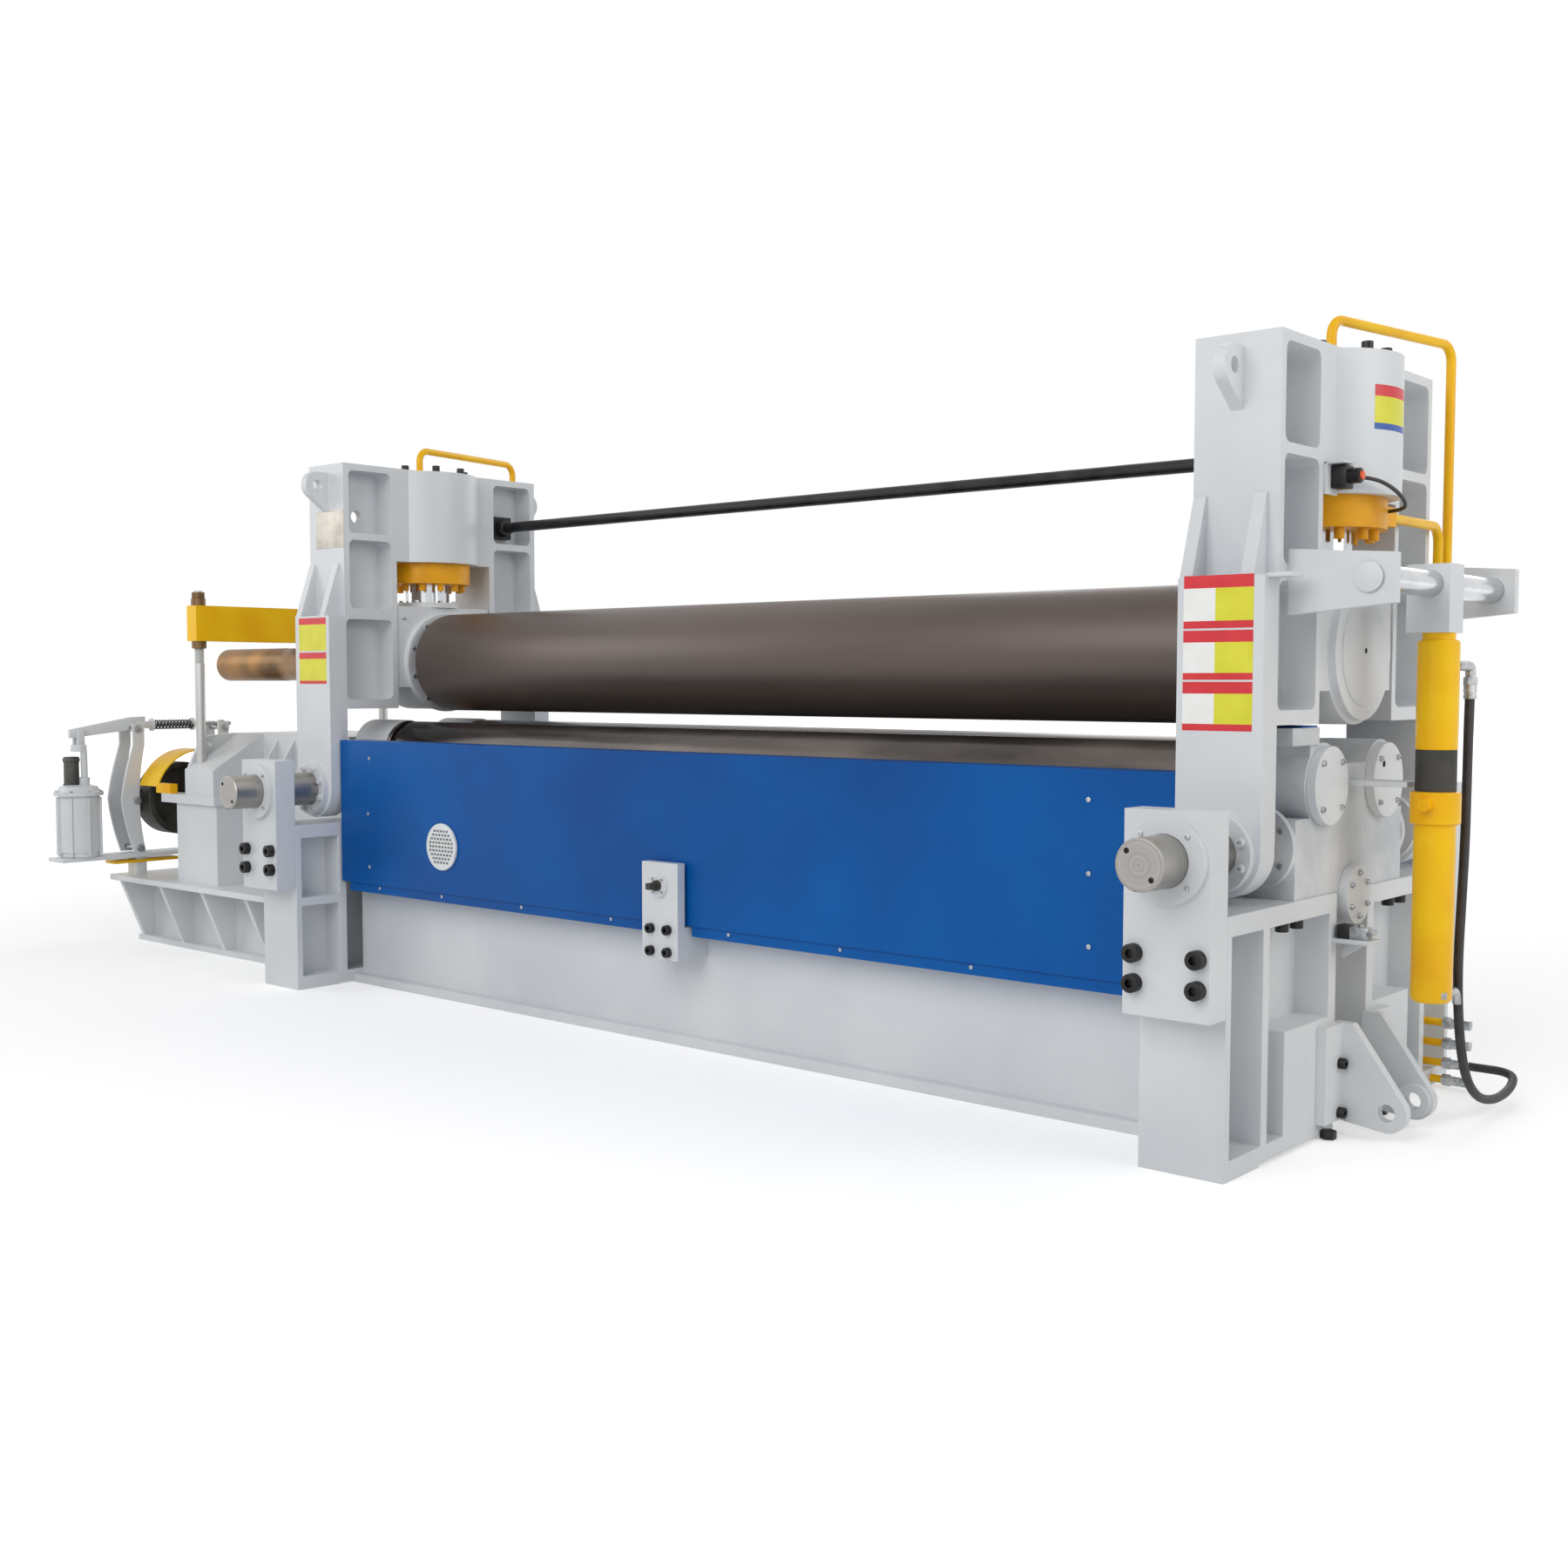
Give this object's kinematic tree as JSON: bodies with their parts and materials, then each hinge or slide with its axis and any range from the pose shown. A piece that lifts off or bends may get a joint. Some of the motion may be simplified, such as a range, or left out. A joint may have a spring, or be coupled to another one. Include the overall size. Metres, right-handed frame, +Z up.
{
  "type": "three-roll plate rolling machine",
  "caption": "Hydraulic plate bending machine: a top roll carried in sliding end frames over driven lower rolls, on a welded base with a drum-braked drive end.",
  "frame": {"origin": "middle of the machine between its two end frames, on the floor", "axes": "+X along the rolls towards the tilting cylinder, -Y the front with the cover and vent, +Z up"},
  "size_m": [6.874, 2.212, 2.541],
  "materials": {
    "pale_enamel": "satin",
    "blue_enamel": "satin",
    "yellow_enamel": "gloss",
    "white_plastic": "matte",
    "turned_steel": "turned",
    "chrome": "polished",
    "black_steel": "matte",
    "roll_steel": "satin",
    "oiled_steel": "oiled"
  },
  "bodies": {
    "base": {"base_beam": "pale_enamel", "right_foot": "pale_enamel", "left_foot": "pale_enamel", "right_housing": "pale_enamel", "left_housing": "pale_enamel", "roll_end_covers": "pale_enamel", "right_front_bracket": "pale_enamel", "left_front_bracket": "pale_enamel", "right_rear_bracket": "pale_enamel", "left_rear_bracket": "pale_enamel", "right_shafts": "turned_steel", "left_shafts": "turned_steel", "centre_bracket": "pale_enamel", "centre_spindle": "turned_steel", "front_cover": "blue_enamel", "rear_cover": "blue_enamel", "vent_grille": "white_plastic", "hinge_ears": "pale_enamel", "limit_switch": "turned_steel", "cylinder_stay": "pale_enamel", "drive_base": "pale_enamel", "gearbox": "pale_enamel", "brake_stand": "pale_enamel", "brake_thruster": "pale_enamel", "drum_guard": "yellow_enamel"},
    "upper_frame": {"right_frame": "pale_enamel", "left_frame": "pale_enamel", "frame_lugs": "pale_enamel", "cylinder_glands": "yellow_enamel", "tie_rod": "black_steel", "oil_pipes": "yellow_enamel", "yoke_arms": "pale_enamel", "yoke_shaft": "chrome", "link_block": "pale_enamel", "tilt_cylinder": "yellow_enamel"},
    "roll_carrier": {"right_bearing_block": "pale_enamel", "left_bearing_block": "pale_enamel", "piston_rods": "chrome"},
    "balance_gear": {"balance_beam": "yellow_enamel", "balance_rods": "turned_steel"},
    "top_roll": {"top_roll": "roll_steel"},
    "front_lower_roll": {"front_lower_roll": "oiled_steel"},
    "rear_lower_roll": {"rear_lower_roll": "oiled_steel"},
    "brake_drum": {"brake_drum": "black_steel"}
  },
  "joints": [
    {"name": "frame_shift", "type": "slide", "parent": "base", "child": "upper_frame", "axis": [0, 1, 0], "range_m": [-0.1, 0.1]},
    {"name": "roll_lift", "type": "slide", "parent": "upper_frame", "child": "roll_carrier", "axis": [0, 0, 1], "range_m": [-0.06, 0.05]},
    {"name": "top_roll_spin", "type": "hinge", "parent": "roll_carrier", "child": "top_roll", "pos_m": [0, 0, 1.49], "axis": [1, 0, 0], "continuous": true},
    {"name": "front_roll_spin", "type": "hinge", "parent": "base", "child": "front_lower_roll", "pos_m": [0, -0.218, 1.085], "axis": [1, 0, 0], "continuous": true},
    {"name": "rear_roll_spin", "type": "hinge", "parent": "base", "child": "rear_lower_roll", "pos_m": [0, 0.218, 1.085], "axis": [1, 0, 0], "continuous": true},
    {"name": "drum_spin", "type": "hinge", "parent": "base", "child": "brake_drum", "pos_m": [-4, -0.387, 0.772], "axis": [1, 0, 0], "continuous": true},
    {"name": "balance_lift", "type": "slide", "parent": "base", "child": "balance_gear", "axis": [0, 0, 1], "range_m": [-0.06, 0.05]}
  ],
  "couplings": [
    {"joint": "rear_roll_spin", "follows": "front_roll_spin", "ratio": 1},
    {"joint": "balance_lift", "follows": "roll_lift", "ratio": 1}
  ]
}
